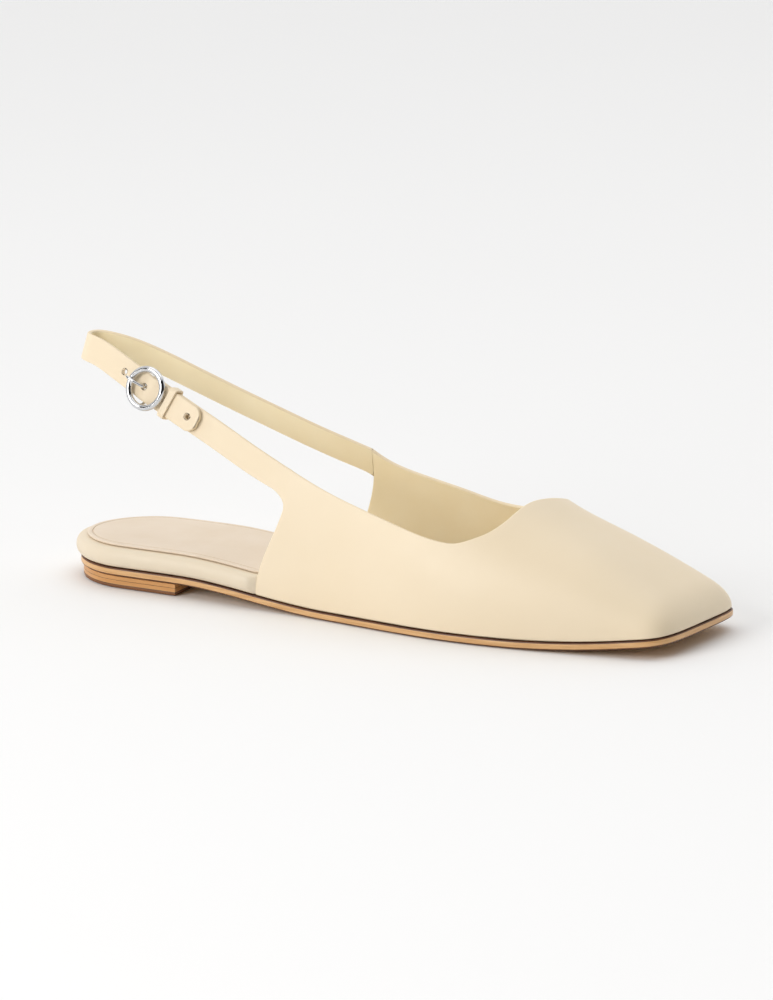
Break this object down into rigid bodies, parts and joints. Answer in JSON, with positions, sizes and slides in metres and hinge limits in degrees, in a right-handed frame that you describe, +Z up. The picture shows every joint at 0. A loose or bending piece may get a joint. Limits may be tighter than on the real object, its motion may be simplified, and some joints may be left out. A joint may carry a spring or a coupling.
{
  "type": "sling back flat",
  "caption": "Square-toed flat shoe, open behind, with a low stacked heel, high side wings and a slim buckled strap round the back of the heel.",
  "frame": {"origin": "middle of the flat underside of the heel, on the ground: halfway along the heel block on the shoe's long axis", "axes": "+X from the heel to the toe, +Y to the medial side of a right shoe, +Z up"},
  "size_m": [0.2603, 0.0778, 0.0919],
  "materials": {
    "upper_leather": "smooth matte-satin cream calf leather",
    "strap_leather": "smooth matte-satin cream calf leather, lined",
    "keeper_leather": "smooth matte-satin cream calf leather",
    "footbed_leather": "cream leather wrapped over a padded board",
    "sock_leather": "matte pinkish beige lining leather",
    "sole_leather": "tan waxed sole leather",
    "heel_leather": "darker tan waxed stacked leather",
    "buckle_metal": "polished"
  },
  "bodies": {
    "root": {"outsole": "sole_leather", "heel_block": "heel_leather", "footbed": "footbed_leather", "sock": "sock_leather", "upper": "upper_leather", "heel_strap": "strap_leather", "buckle_ring": "buckle_metal", "buckle_prong": "buckle_metal", "keeper": "keeper_leather"}
  },
  "joints": []
}
